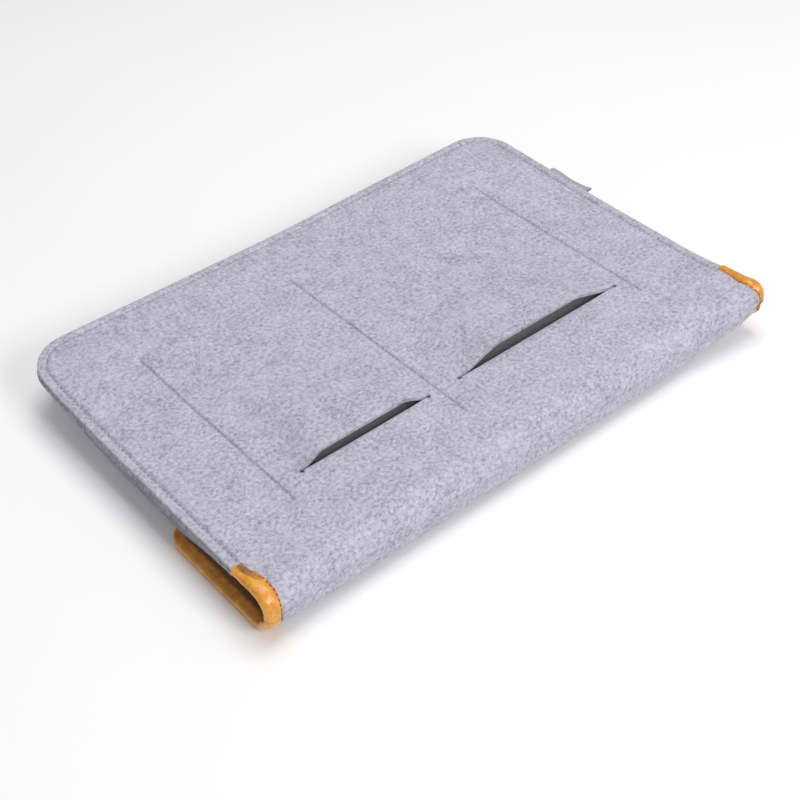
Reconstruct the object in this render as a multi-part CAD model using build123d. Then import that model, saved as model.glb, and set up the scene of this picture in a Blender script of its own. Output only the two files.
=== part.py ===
from build123d import *
import math
import os

# Felt laptop sleeve with two phone pockets on its back, lying on its front with the flap closed under it.
# X runs along the fold, Y from the fold to the closed far edge, Z up. Millimetres.
# The origin is the middle of the footprint, on the surface that the sleeve lies on.
# The sleeve has the filled-out shape that it keeps around a laptop of about 15 inches.

# ---- sheet materials ------------------------------------------------------------------------------
FELT = 3.0
LEATHER = 1.0
LINING = 1.0
POCKET_CLOTH = 0.7
FOLD_LINING = 0.5        # the lining's thinner end, which runs round the fold and over the flap
TAPE = 0.7               # one half of the hook and loop closure
THREAD_WIDTH = 0.8
THREAD_DEPTH = 0.4       # a seam is sunk this far, so that it ends flush with the sheet
GROOVE_EASE = 0.1        # the edge seam's groove is this much wider, each side, than its thread

# ---- overall size ---------------------------------------------------------------------------------
HALF_LENGTH = 187.5
FAR_EDGE = 127.0
FOLD_FRONT = -127.0
BACK_TOP = 32.0          # top of the back panel, away from the lifted pocket mouths
FAR_CORNER_RADIUS = 27.0

# ---- the fold, in which the back panel turns under and becomes the flap -----------------------------
BEND_INSIDE = 10.5
BEND_OUTSIDE = BEND_INSIDE + FELT
BEND_Y = FOLD_FRONT + LEATHER + BEND_OUTSIDE
UPPER_BEND_Z = BACK_TOP - BEND_OUTSIDE
LOWER_BEND_Z = LEATHER + BEND_OUTSIDE
HALF_SPLIT = 1.0         # degrees each side of a hinge line that stay clear of felt and leather

# ---- flap -----------------------------------------------------------------------------------------
FLAP_EDGE = -28.0
FLAP_CORNER_RADIUS = 14.0
FLAP_TOP = LEATHER + FELT
TAPE_CLEARANCE = 0.3
TAPE_LENGTH = 60.0
TAPE_WIDTH = 15.0
TAPE_X = 90.0
TAPE_Y = -55.0

# ---- front panel, a shallow tray that the laptop lies in ---------------------------------------------
MOUTH_Y = -98.0
TRAY_HALF_BOTTOM = 169.0
TRAY_HALF_TOP = 180.5
TRAY_END_MARGIN = HALF_LENGTH - TRAY_HALF_BOTTOM
RIM_MARGIN = HALF_LENGTH - TRAY_HALF_TOP
FLANGE_Z = BACK_TOP - 2 * FELT - 2 * LINING
OVER_FLAP_Z = FLAP_TOP + FOLD_LINING + 2 * TAPE + TAPE_CLEARANCE
STEP_START = -23.5       # the tray's floor drops from over the flap to the resting surface between these
STEP_END = -5.5
TRAY_BOTTOM_RADIUS = 14.0

# ---- pockets in the back panel ------------------------------------------------------------------------
SLIT_Y = -64.5
SLIT_WIDTH = 0.8
RELIEF_RADIUS = 1.4
# each slit: its left end, where its mouth is fully open from and to, its right end, and the opening's height
SLITS = {"left": (-118.1, -103.2, -44.6, -27.1, 8.0), "right": (-3.4, 27.0, 90.0, 125.1, 10.0)}
LIFT_FADE = 95.0         # the felt lies flat again this far behind the slit
POCKET_SEAMS = {"left": -133.5, "centre": -19.0, "right": 134.5}
SEAM_SPANS = {"left": (-80.0, 77.0), "centre": (-89.0, 81.0), "right": (-79.0, 77.0)}
BAG_SPAN_Y = (-82.0, 81.0)
BAG_MARGIN = 4.0         # cloth outside the seam
BAG_GAP = 0.3            # half the gap between the two bags at the centre seam
BAG_SLOPE = 8.0
BAG_DEPTH = 2.2
LINING_DISH = (-147.0, 148.0, -92.0, 91.0)
LINING_DEPTH = 3.1

# ---- leather corners, seams and side tab ---------------------------------------------------------------
LEATHER_WIDTH = 9.5
LEATHER_START_WIDTH = 6.5
LEATHER_SEAM_INSET = 2.5
LINING_TO_LEATHER = 0.2
LEATHER_END_REACH = 34.0     # how far the flap's leather runs in from the side along the free edge
EDGE_SEAM_INSET = 5.5
HEM_INSET = 4.0
TAB_SPAN_Y = (22.0, 59.0)
TAB_OUT = 6.0
TAB_ROOT = 6.0

CENTRE_SHIFT = (LEATHER - TAB_OUT) / 2


def block(x0, x1, y0, y1, z0, z1):
    """A box between two corners."""
    middle = Pos((x0 + x1) / 2, (y0 + y1) / 2, (z0 + z1) / 2)
    return middle * Box(x1 - x0, y1 - y0, z1 - z0)


def raised_plan(half_x, y_near, y_far, radius, z0, z1):
    """A flat sheet with its two far corners rounded."""
    plan = Pos(0, (y_near + y_far) / 2) * Rectangle(2 * half_x, y_far - y_near)
    plan = fillet(plan.vertices().group_by(Axis.Y)[-1], radius)
    return extrude(Pos(0, 0, z0) * plan, z1 - z0)


def panel(inset, y_near, z0, z1):
    """A sheet with the back panel's outline, moved in by an inset on three sides."""
    return raised_plan(HALF_LENGTH - inset, y_near, FAR_EDGE - inset, FAR_CORNER_RADIUS - inset, z0, z1)


def flap_sheet(inset, z0, z1):
    """A sheet with the flap's flat outline, moved in by an inset on three sides."""
    radius = FLAP_CORNER_RADIUS - inset
    return raised_plan(HALF_LENGTH - inset, BEND_Y, FLAP_EDGE - inset, radius, z0, z1)


def hanging_facet(points, thickness):
    """A flat facet through some points, thickened straight down."""
    return extrude(Face(Wire.make_polygon(points, close=True)), thickness, dir=(0, 0, -1))


# ---- strips that follow the fold ------------------------------------------------------------------------
def bend(x0, x1, r0, r1, centre_z, start, end):
    """Part of a strip round one bend; angles run from straight up, over the front, to straight down."""
    axis = Axis((0, BEND_Y, centre_z), (1, 0, 0))
    section_plane = Plane((0, BEND_Y, centre_z), x_dir=(1, 0, 0), z_dir=(0, -1, 0))
    section = section_plane * (Pos((x0 + x1) / 2, (r0 + r1) / 2) * Rectangle(x1 - x0, r1 - r0))
    return revolve(section.rotate(axis, start), axis, end - start)


def upper_strip(x0, x1, r0, r1, y_far):
    flat = block(x0, x1, BEND_Y, y_far, UPPER_BEND_Z + r0, UPPER_BEND_Z + r1)
    return flat + bend(x0, x1, r0, r1, UPPER_BEND_Z, 0, 45 - HALF_SPLIT)


def spine_strip(x0, x1, r0, r1):
    upper = bend(x0, x1, r0, r1, UPPER_BEND_Z, 45 + HALF_SPLIT, 90)
    straight = block(x0, x1, BEND_Y - r1, BEND_Y - r0, LOWER_BEND_Z, UPPER_BEND_Z)
    lower = bend(x0, x1, r0, r1, LOWER_BEND_Z, 90, 135 - HALF_SPLIT)
    return upper + straight + lower


def flap_bend(x0, x1, r0, r1):
    return bend(x0, x1, r0, r1, LOWER_BEND_Z, 135 + HALF_SPLIT, 180)


LINING_MARGIN = LEATHER_WIDTH + LINING_TO_LEATHER
LINING_HALF = HALF_LENGTH - LINING_MARGIN
FOLD_LINING_SPAN = (-LINING_HALF, LINING_HALF, BEND_INSIDE - FOLD_LINING, BEND_INSIDE)


# ---- felt and lining ------------------------------------------------------------------------------------
def pocket_hood(x0, left, right, x1, lift):
    """The felt behind one slit, lifted at the mouth and flat again at the back, and its footprint."""
    mouth = BACK_TOP + lift
    back = SLIT_Y + LIFT_FADE
    top = [(left, SLIT_Y, mouth), (right, SLIT_Y, mouth), (right, back, BACK_TOP), (left, back, BACK_TOP)]
    left_side = [(x0, SLIT_Y, BACK_TOP), top[0], top[3]]
    right_side = [(x1, SLIT_Y, BACK_TOP), top[1], top[2]]
    hood = hanging_facet(top, FELT)
    for facet in (left_side, right_side):
        hood += hanging_facet(facet, FELT)
    footprint = [(x0, SLIT_Y, BACK_TOP), (x1, SLIT_Y, BACK_TOP), top[2], top[3]]
    return hood, hanging_facet(footprint, FELT)


def make_back_panel():
    felt = panel(0, BEND_Y, BACK_TOP - FELT, BACK_TOP)
    felt += bend(-HALF_LENGTH, HALF_LENGTH, BEND_INSIDE, BEND_OUTSIDE, UPPER_BEND_Z, 0, 45 - HALF_SPLIT)
    for slit in SLITS.values():
        hood, footprint = pocket_hood(*slit)
        felt = felt - footprint + hood
    for slit in SLITS.values():
        x0, x1 = slit[0], slit[3]
        near = SLIT_Y - SLIT_WIDTH / 2
        felt -= block(x0, x1, near, near + SLIT_WIDTH, BACK_TOP - 2 * FELT, BACK_TOP + FELT)
        for x in (x0, x1):
            felt -= Pos(x, SLIT_Y, BACK_TOP) * Cylinder(RELIEF_RADIUS, 4 * FELT)
    return felt


def tray_block(inset):
    """The space inside the tray, measured from a surface that lies an inset inside its outer one."""
    run = TRAY_HALF_TOP - TRAY_HALF_BOTTOM
    lean = run / FLANGE_Z
    sideways = inset * (math.sqrt(1 + lean * lean) - lean)
    near = MOUTH_Y - 3 * TRAY_BOTTOM_RADIUS

    def outline(half_x, margin, radius, z):
        far = FAR_EDGE - margin - sideways
        plan = Pos(0, (near + far) / 2, z) * RectangleRounded(2 * (half_x - sideways), far - near, radius)
        return plan.face()

    bottom = outline(TRAY_HALF_BOTTOM, TRAY_END_MARGIN, TRAY_BOTTOM_RADIUS - sideways, inset)
    top_radius = FAR_CORNER_RADIUS - RIM_MARGIN - sideways
    top = outline(TRAY_HALF_TOP, RIM_MARGIN, top_radius, FLANGE_Z + inset)
    shape = loft([bottom, top], ruled=True)

    # over the flap the floor is higher, and the tray ends at the mouth
    step_angle = math.atan2(OVER_FLAP_Z, STEP_END - STEP_START)
    shift = inset * math.tan(step_angle / 2)
    high = BACK_TOP + FELT
    profile = Plane.YZ * make_face(Polyline(
        (MOUTH_Y, OVER_FLAP_Z + inset), (STEP_START + shift, OVER_FLAP_Z + inset),
        (STEP_END + shift, inset), (FAR_EDGE, inset), (FAR_EDGE, high), (MOUTH_Y, high), close=True))
    return shape & extrude(profile, HALF_LENGTH, both=True)


def tray_skin(inset, thickness):
    """One layer of the tray, with the flat rim that is sewn to the back panel."""
    rim = panel(0, MOUTH_Y, FLANGE_Z + inset, FLANGE_Z + inset + thickness)
    return tray_block(inset) + rim - tray_block(inset + thickness)


def dished_sheet(sheet, dish, slope, depth, top, thickness):
    """A flat sheet whose middle, a rectangle, sinks by a depth over sloped sides."""
    x0, x1, y0, y1 = dish
    rim = [(x0, y0, top), (x1, y0, top), (x1, y1, top), (x0, y1, top)]
    low = top - depth
    floor = [(x0 + slope, y0 + slope, low), (x1 - slope, y0 + slope, low),
             (x1 - slope, y1 - slope, low), (x0 + slope, y1 - slope, low)]
    sheet = sheet - hanging_facet(rim, thickness) + hanging_facet(floor, thickness)
    for i in range(4):
        j = (i + 1) % 4
        sheet += hanging_facet([rim[i], rim[j], floor[j], floor[i]], thickness)
    return sheet


def make_back_lining():
    """The lining under the back panel, with the thinner strip that runs on round the fold."""
    top = BACK_TOP - FELT
    sheet = panel(0, MOUTH_Y, top - LINING, top)
    sheet = dished_sheet(sheet, LINING_DISH, BAG_SLOPE, LINING_DEPTH, top, LINING)
    return sheet + upper_strip(*FOLD_LINING_SPAN, MOUTH_Y)


def make_flap_lining():
    return flap_sheet(LINING_MARGIN, FLAP_TOP, FLAP_TOP + FOLD_LINING) + flap_bend(*FOLD_LINING_SPAN)


def make_pocket_bag(side):
    """The cloth under one pocket: sewn to the felt along its sides and sagging between the seams."""
    top = BACK_TOP - FELT
    centre = POCKET_SEAMS["centre"]
    if side == "left":
        x0, x1 = POCKET_SEAMS["left"] - BAG_MARGIN, centre - BAG_GAP
        dish_x = (POCKET_SEAMS["left"] + 1, centre - 2)
    else:
        x0, x1 = centre + BAG_GAP, POCKET_SEAMS["right"] + BAG_MARGIN
        dish_x = (centre + 2, POCKET_SEAMS["right"] - 1)
    y0, y1 = BAG_SPAN_Y
    sheet = block(x0, x1, y0, y1, top - POCKET_CLOTH, top)
    dish = (*dish_x, y0 + BAG_MARGIN, y1 - BAG_MARGIN)
    return dished_sheet(sheet, dish, BAG_SLOPE, BAG_DEPTH, top, POCKET_CLOTH)


# ---- leather and its seams: the left side, which the right side mirrors -------------------------------------
EDGE_X = -HALF_LENGTH
INSIDE_R = BEND_INSIDE - LEATHER
OUTSIDE_R = BEND_OUTSIDE + LEATHER
SEAM_X = EDGE_X + LEATHER_WIDTH - LEATHER_SEAM_INSET
SEAM_R = OUTSIDE_R - THREAD_DEPTH
SEAM_SPAN_X = (SEAM_X - THREAD_WIDTH / 2, SEAM_X + THREAD_WIDTH / 2)


def make_corner_leather(felt):
    """Binding over the back panel's edge from its narrow end to the first hinge line, and its seam."""
    leather = upper_strip(EDGE_X - LEATHER, EDGE_X + LEATHER_WIDTH, INSIDE_R, OUTSIDE_R, MOUTH_Y)
    bottom = UPPER_BEND_Z + INSIDE_R
    top = UPPER_BEND_Z + OUTSIDE_R
    narrow = EDGE_X + LEATHER_START_WIDTH
    wide = EDGE_X + LEATHER_WIDTH
    wedge = [(narrow, MOUTH_Y, top), (wide, BEND_Y, top), (wide, MOUTH_Y, top)]
    leather = leather - hanging_facet(wedge, top - bottom) - felt
    start_x = narrow - LEATHER_SEAM_INSET
    start_y = MOUTH_Y - LEATHER_SEAM_INSET
    half = THREAD_WIDTH / 2
    run = [(start_x - half, start_y, top), (start_x + half, start_y, top),
           (SEAM_X + half, BEND_Y, top), (SEAM_X - half, BEND_Y, top)]
    seam = hanging_facet(run, THREAD_DEPTH)
    seam += bend(*SEAM_SPAN_X, SEAM_R, OUTSIDE_R, UPPER_BEND_Z, 0, 45 - HALF_SPLIT)
    return leather - seam, seam


def make_spine_leather(felt):
    leather = spine_strip(EDGE_X - LEATHER, EDGE_X + LEATHER_WIDTH, INSIDE_R, OUTSIDE_R) - felt
    seam = spine_strip(*SEAM_SPAN_X, SEAM_R, OUTSIDE_R)
    return leather - seam, seam


def make_flap_leather(felt):
    """Binding round the flap's side and its rounded corner, and its seam on the underside."""
    end_x = EDGE_X + LEATHER_END_REACH
    keep = block(EDGE_X - 2, end_x, BEND_Y, FLAP_EDGE + 2, -1, FLAP_TOP + 2)
    high = FLAP_TOP + LEATHER
    rim = flap_sheet(-LEATHER, 0, high) - flap_sheet(LEATHER_WIDTH, -1, high + 1)
    leather = (rim & keep) + flap_bend(EDGE_X - LEATHER, EDGE_X + LEATHER_WIDTH, INSIDE_R, OUTSIDE_R) - felt
    inset = LEATHER_WIDTH - LEATHER_SEAM_INSET - THREAD_WIDTH / 2
    seam_ring = flap_sheet(inset, 0, THREAD_DEPTH) - flap_sheet(inset + THREAD_WIDTH, -1, THREAD_DEPTH + 1)
    seam_keep = block(EDGE_X, end_x - LEATHER_SEAM_INSET, BEND_Y, FLAP_EDGE, -1, 1)
    seam = (seam_ring & seam_keep) + flap_bend(*SEAM_SPAN_X, SEAM_R, OUTSIDE_R)
    return leather - seam, seam


# ---- stitching through the felt ------------------------------------------------------------------------------
def edge_seam(z0, z1, ease=0.0):
    """The thread that closes the sleeve round its two sides and far edge, or with some ease its groove."""
    outer = EDGE_SEAM_INSET - THREAD_WIDTH / 2 - ease
    inner = EDGE_SEAM_INSET + THREAD_WIDTH / 2 + ease
    start = MOUTH_Y + 2 - ease
    return panel(outer, start, z0, z1) - panel(inner, start - 1, z0 - 1, z1 + 1)


def make_pocket_seam(name):
    x = POCKET_SEAMS[name]
    half = THREAD_WIDTH / 2
    return block(x - half, x + half, *SEAM_SPANS[name], BACK_TOP - THREAD_DEPTH, BACK_TOP)


def tape(x, z0):
    half_x, half_y = TAPE_LENGTH / 2, TAPE_WIDTH / 2
    return block(x - half_x, x + half_x, TAPE_Y - half_y, TAPE_Y + half_y, z0, z0 + TAPE)


def build_nodes():
    """Every piece of the sleeve, by name."""
    felt_span = (-HALF_LENGTH, HALF_LENGTH, BEND_INSIDE, BEND_OUTSIDE)
    nodes = {}
    back = make_back_panel()
    spine = spine_strip(*felt_span)
    flap = flap_sheet(0, LEATHER, FLAP_TOP) + flap_bend(*felt_span)

    corner, corner_seam = make_corner_leather(upper_strip(*felt_span, MOUTH_Y))
    spine_leather, spine_seam = make_spine_leather(spine)
    flap_leather, flap_seam = make_flap_leather(flap)
    leather = {"corner_leather": corner, "corner_stitching": corner_seam,
               "spine_leather": spine_leather, "spine_stitching": spine_seam,
               "flap_leather": flap_leather, "flap_stitching": flap_seam}
    for name, shape in leather.items():
        nodes["left_" + name] = shape
        nodes["right_" + name] = mirror(shape, about=Plane.YZ)

    front = tray_skin(0, FELT)
    top_seam_span = (BACK_TOP - THREAD_DEPTH, BACK_TOP)
    under_seam_span = (FLANGE_Z, FLANGE_Z + THREAD_DEPTH)
    hem_y = MOUTH_Y + HEM_INSET
    hem_half = TRAY_HALF_BOTTOM - 6
    hem = block(-hem_half, hem_half, hem_y, hem_y + THREAD_WIDTH, OVER_FLAP_Z, OVER_FLAP_Z + THREAD_DEPTH)
    for name in POCKET_SEAMS:
        seam = make_pocket_seam(name)
        nodes[name + "_pocket_stitching"] = seam
        back -= seam
    nodes["perimeter_stitching"] = Compound(children=[edge_seam(*top_seam_span), edge_seam(*under_seam_span)])
    nodes["mouth_hem_stitching"] = hem
    nodes["back_panel"] = back - edge_seam(*top_seam_span, GROOVE_EASE)
    nodes["front_panel"] = front - edge_seam(*under_seam_span, GROOVE_EASE) - hem
    nodes["fold_spine_felt"] = spine
    nodes["fold_lining"] = spine_strip(*FOLD_LINING_SPAN)
    nodes["flap_panel"] = flap
    nodes["flap_lining"] = make_flap_lining()

    tab = block(HALF_LENGTH - TAB_ROOT, HALF_LENGTH + TAB_OUT, *TAB_SPAN_Y,
                FLANGE_Z + FELT, FLANGE_Z + FELT + 2 * LINING)
    nodes["side_tab"] = tab
    nodes["back_lining"] = make_back_lining() - tab
    nodes["front_lining"] = tray_skin(FELT, LINING) - tab
    for side, sign in (("left", -1), ("right", 1)):
        nodes[side + "_pocket_bag"] = make_pocket_bag(side)
        nodes[side + "_hook_tape"] = tape(sign * TAPE_X, FLAP_TOP + FOLD_LINING)
        nodes[side + "_loop_tape"] = tape(sign * TAPE_X, OVER_FLAP_Z - TAPE)
    return nodes


os.makedirs("parts", exist_ok=True)
for node_name, node_shape in build_nodes().items():
    export_step(Pos(CENTRE_SHIFT, 0, 0) * node_shape, "parts/" + node_name + ".step")
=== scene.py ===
import math

import bpy
import numpy as np
from mathutils import Matrix, Vector, noise


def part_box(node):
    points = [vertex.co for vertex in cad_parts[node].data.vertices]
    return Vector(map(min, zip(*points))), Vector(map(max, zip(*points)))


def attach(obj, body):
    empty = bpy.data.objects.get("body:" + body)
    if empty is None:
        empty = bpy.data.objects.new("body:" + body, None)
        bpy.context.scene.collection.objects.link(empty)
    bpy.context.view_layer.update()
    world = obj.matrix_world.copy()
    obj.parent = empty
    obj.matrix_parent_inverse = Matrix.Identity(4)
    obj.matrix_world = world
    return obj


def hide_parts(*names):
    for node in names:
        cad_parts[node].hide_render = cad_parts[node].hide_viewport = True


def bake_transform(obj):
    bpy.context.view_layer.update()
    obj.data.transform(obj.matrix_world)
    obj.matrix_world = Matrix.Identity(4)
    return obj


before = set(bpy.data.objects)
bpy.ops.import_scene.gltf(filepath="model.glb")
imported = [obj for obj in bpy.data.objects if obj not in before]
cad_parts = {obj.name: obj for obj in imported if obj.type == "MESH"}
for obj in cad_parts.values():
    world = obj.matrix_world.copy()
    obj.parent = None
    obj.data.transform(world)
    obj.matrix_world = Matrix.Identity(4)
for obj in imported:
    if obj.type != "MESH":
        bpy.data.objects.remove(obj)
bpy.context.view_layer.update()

# Felt laptop sleeve, lying on its front. Shapes are worked out in millimetres, with x measured from the
# middle of the felt, and turned into the frame's metres when a mesh is made.
MM = 0.001
X, Y, Z = range(3)


def face_of(node, side, axis):
    """Where a CAD node's box begins (side 0) or ends (side 1) along an axis, in millimetres."""
    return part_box(node)[side][axis] / MM


def span_of(node, axis):
    return face_of(node, 0, axis), face_of(node, 1, axis)


# ---- sizes read from the frame ----
FELT_SPAN = span_of("back_panel", X)
X_MID = sum(FELT_SPAN) / 2
HALF = (FELT_SPAN[1] - FELT_SPAN[0]) / 2
FAR = face_of("back_panel", 1, Y)
TOP = face_of("perimeter_stitching", 1, Z)
FLANGE = face_of("perimeter_stitching", 0, Z)
FELT = TOP - face_of("back_lining", 1, Z)
SPINE_FRONT = face_of("fold_spine_felt", 0, Y)
FLAP_BOTTOM = face_of("flap_panel", 0, Z)
FLAP_EDGE = face_of("flap_panel", 1, Y)
MOUTH = face_of("front_panel", 0, Y)
OVER_FLAP = face_of("left_loop_tape", 1, Z)
TAB_OUT = face_of("side_tab", 1, X) - X_MID - HALF
TAB_SPAN = span_of("side_tab", Y)
TAB_LEVELS = span_of("side_tab", Z)
POCKET_SEAMS = {}  # where each runs: x, and from and to which y
for seam_side in ("left", "centre", "right"):
    seam_node = seam_side + "_pocket_stitching"
    POCKET_SEAMS[seam_side] = (sum(span_of(seam_node, X)) / 2 - X_MID, *span_of(seam_node, Y))

# ---- sizes that the frame's boxes don't show ----
CORNER_RADIUS = 27.0
FLAP_CORNER_RADIUS = 14.0
BEND_OUTSIDE = 13.5
EDGE_SEAM = 5.5  # from the sleeve's outline
SLIT_Y = -64.5
SLIT_HALF = 0.4
RELIEF = 1.45  # radius of the round hole at each end of a slit
# each slit: its left end, where its mouth is fully open from and to, its right end, and its lift
SLITS = {"left": (-118.1, -103.2, -44.6, -27.1, 8.0), "right": (-3.4, 27.0, 90.0, 125.1, 10.0)}
LIFT_FADE = 95.0

# ---- the folded sheet: x across, s along the felt from its far edge, n out of its outer face ----
BEND_MIDDLE = BEND_OUTSIDE - FELT / 2
BEND_Y = SPINE_FRONT + BEND_OUTSIDE
UPPER_Z = TOP - BEND_OUTSIDE
LOWER_Z = FLAP_BOTTOM + BEND_OUTSIDE
QUARTER = BEND_MIDDLE * math.pi / 2
S_SPINE = BEND_Y - QUARTER
S_LOWER = S_SPINE - (UPPER_Z - LOWER_Z)
S_FLAP = S_LOWER - QUARTER
S_MID = (S_SPINE + S_LOWER) / 2
S_END = S_FLAP - (FLAP_EDGE - BEND_Y)


def on_fold(x, s, n):
    """Points of the sheet that runs from the far edge, round the fold and back to the flap's edge."""
    x, s, n = (a.astype(float) for a in np.broadcast_arrays(x, s, n))
    reach = BEND_OUTSIDE + n
    upper = np.clip((BEND_Y - s) / BEND_MIDDLE, 0, math.pi / 2)
    lower = np.clip((S_LOWER - s) / BEND_MIDDLE, 0, math.pi / 2)
    turn = upper + lower
    y = BEND_Y - reach * np.sin(turn)
    drop = np.clip(S_SPINE - s, 0, S_SPINE - S_LOWER)
    z = UPPER_Z - drop + reach * np.cos(turn)
    y = y + np.maximum(s - BEND_Y, 0) + np.maximum(S_FLAP - s, 0)
    return np.stack([x, y, z], -1)


def smooth(t):
    t = np.clip(t, 0, 1)
    return t * t * (3 - 2 * t)


def fade(value, start, end):
    """0 up to the start, 1 from the end on, and smooth between; the end may be the lower of the two."""
    return smooth((value - start) / (end - start))


# ---- the soft shape that the sleeve has settled into ----
FAR_RISE = 3.9  # of the far edge, from its middle to its corners
FAR_SAG = 1.5  # of the whole far edge
CURL = 3.0  # of the right-hand near corner, upwards
UPPER_FULLNESS = {"left": 2.0, "right": 6.0}  # of the fold's upper turn, at its ends
LOWER_FULLNESS = 3.0  # of its lower turn, in the middle
LOWER_FALL = {"left": 1.8, "right": 4.2}  # how much less of it towards the ends
LOWER_TUCK = {"left": 3.0, "right": 5.5}  # and less again at the very ends
DRAWN_IN = 1.7  # of the far left corner, inwards
FLARE = 1.3  # of the upper turn's right end, sideways


def drape(points):
    """Points moved into the settled shape. u runs from -1 at the left end to 1 at the right."""
    x, y, z = np.reshape(points, (-1, 3)).T
    u = np.clip(x / HALF, -1, 1)
    dip = FAR_RISE * np.sqrt(u * u + 0.01) - FAR_SAG
    curl = CURL * fade(u, 0.55, 1) * fade(y, -65, -120)
    lift = (dip * fade(y, -10, 120) + curl) * np.clip(z / FLANGE, 0, 1)

    above = np.arctan2(BEND_Y - y, z - UPPER_Z)
    below = math.pi - np.arctan2(BEND_Y - y, LOWER_Z - z)
    turn = np.where(z > UPPER_Z, above, np.where(z < LOWER_Z, below, math.pi / 2))
    angle = np.clip(turn, 0, math.pi)
    degrees = np.degrees(angle)
    upper_turn = fade(degrees, 0, 60) * fade(degrees, 132, 77)
    lower_turn = fade(degrees, 55, 135) * fade(degrees, 180, 135)
    upper_push = UPPER_FULLNESS["right"] * fade(u, 0.6, 1) + UPPER_FULLNESS["left"] * fade(u, -0.6, -1)
    fall = LOWER_FALL["left"] * np.maximum(0, -u) ** 1.5
    fall += LOWER_FALL["right"] * np.maximum(0, (u - 0.4) / 0.6) ** 2
    tuck = LOWER_TUCK["left"] * fade(u, -0.9, -1) + LOWER_TUCK["right"] * fade(u, 0.88, 1)
    lower_push = LOWER_FULLNESS - fall - tuck
    push = (upper_push * upper_turn + lower_push * lower_turn) * fade(y, BEND_Y, BEND_Y - 8)
    drawn_in = DRAWN_IN * fade(x, -140, -185) * fade(y, 75, 120)
    flare = FLARE * fade(u, 0.85, 1) * upper_turn
    return np.stack([x + drawn_in + flare, y - push * np.sin(angle) - drawn_in,
                     z + push * np.cos(angle) + lift + 0.5 * drawn_in], -1)


def unit(vectors):
    return vectors / np.linalg.norm(vectors, axis=-1, keepdims=True)


def cloudy(points, size, seed):
    """Smooth noise from -1 to 1 at points in millimetres, with features of about that size."""
    flat = np.asarray(points, float).reshape(-1, 3) / size + seed
    values = [noise.noise(Vector(p)) for p in flat]
    return np.array(values).reshape(np.shape(points)[:-1])


def cloudy_2d(x, s, size, seed):
    return cloudy(np.stack([x, s, np.zeros_like(x)], -1), size, seed)


# ---- mesh building ----
def add_object(name, data):
    added = bpy.data.objects.new(name, data)
    bpy.context.scene.collection.objects.link(added)
    return added


def make_object(name, points, faces, material, flat_from=None, values=None):
    """A draped piece. Its faces from number flat_from on are shaded flat. values names a mesh attribute and
    gives it at each point."""
    mesh = bpy.data.meshes.new(name)
    world = (drape(points) + (X_MID, 0, 0)) * MM
    mesh.from_pydata(world.tolist(), [], faces)
    count = len(faces)
    mesh.polygons.foreach_set("use_smooth", [flat_from is None or k < flat_from for k in range(count)])
    mesh.materials.append(material)
    if values:
        mesh.attributes.new(values[0], "FLOAT", "POINT").data.foreach_set("value", values[1])
    mesh.update()
    return add_object(name, mesh)


def subdivide(piece):
    """Smooth a piece with a subdivision surface, and keep the result as its mesh."""
    piece.modifiers.new("smooth", "SUBSURF").levels = 1
    depsgraph = bpy.context.evaluated_depsgraph_get()
    cage, piece.data = piece.data, bpy.data.meshes.new_from_object(piece.evaluated_get(depsgraph))
    piece.modifiers.clear()
    bpy.data.meshes.remove(cage)
    piece.data.name = piece.name
    return piece


def joined(parts):
    """Several (points, faces) as one."""
    points, faces, count = [], [], 0
    for part_points, part_faces in parts:
        part_points = np.asarray(part_points, float).reshape(-1, 3)
        points.append(part_points)
        faces += [tuple(int(i) + count for i in f) for f in part_faces]
        count += len(part_points)
    return np.concatenate(points), faces


def grid_lines(low, high, step, fine=(), exact=()):
    """Positions from low to high a step apart, finer round the centres in fine, and always at exact."""
    kept = sorted({low, high, *exact})
    for centre, half_width, fine_step in (*fine, ((low + high) / 2, (high - low) / 2, step)):
        count = round(half_width / fine_step)
        for k in range(-count, count + 1):
            value = centre + k * fine_step
            if low < value < high and min(abs(value - v) for v in kept) > 0.6 * fine_step:
                kept.append(value)
    return np.array(sorted(kept))


def rim_profile(thickness):
    """(outwards, depth) of the rings that round a cut edge over from one face to the other."""
    roll = min(0.4, 0.3 * thickness)
    near = [(-roll, 0.0), (-0.3 * roll, 0.3 * roll), (0.0, roll), (0.1 * roll, thickness / 2)]
    return near + [(out, thickness - depth) for out, depth in reversed(near[:3])]


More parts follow.
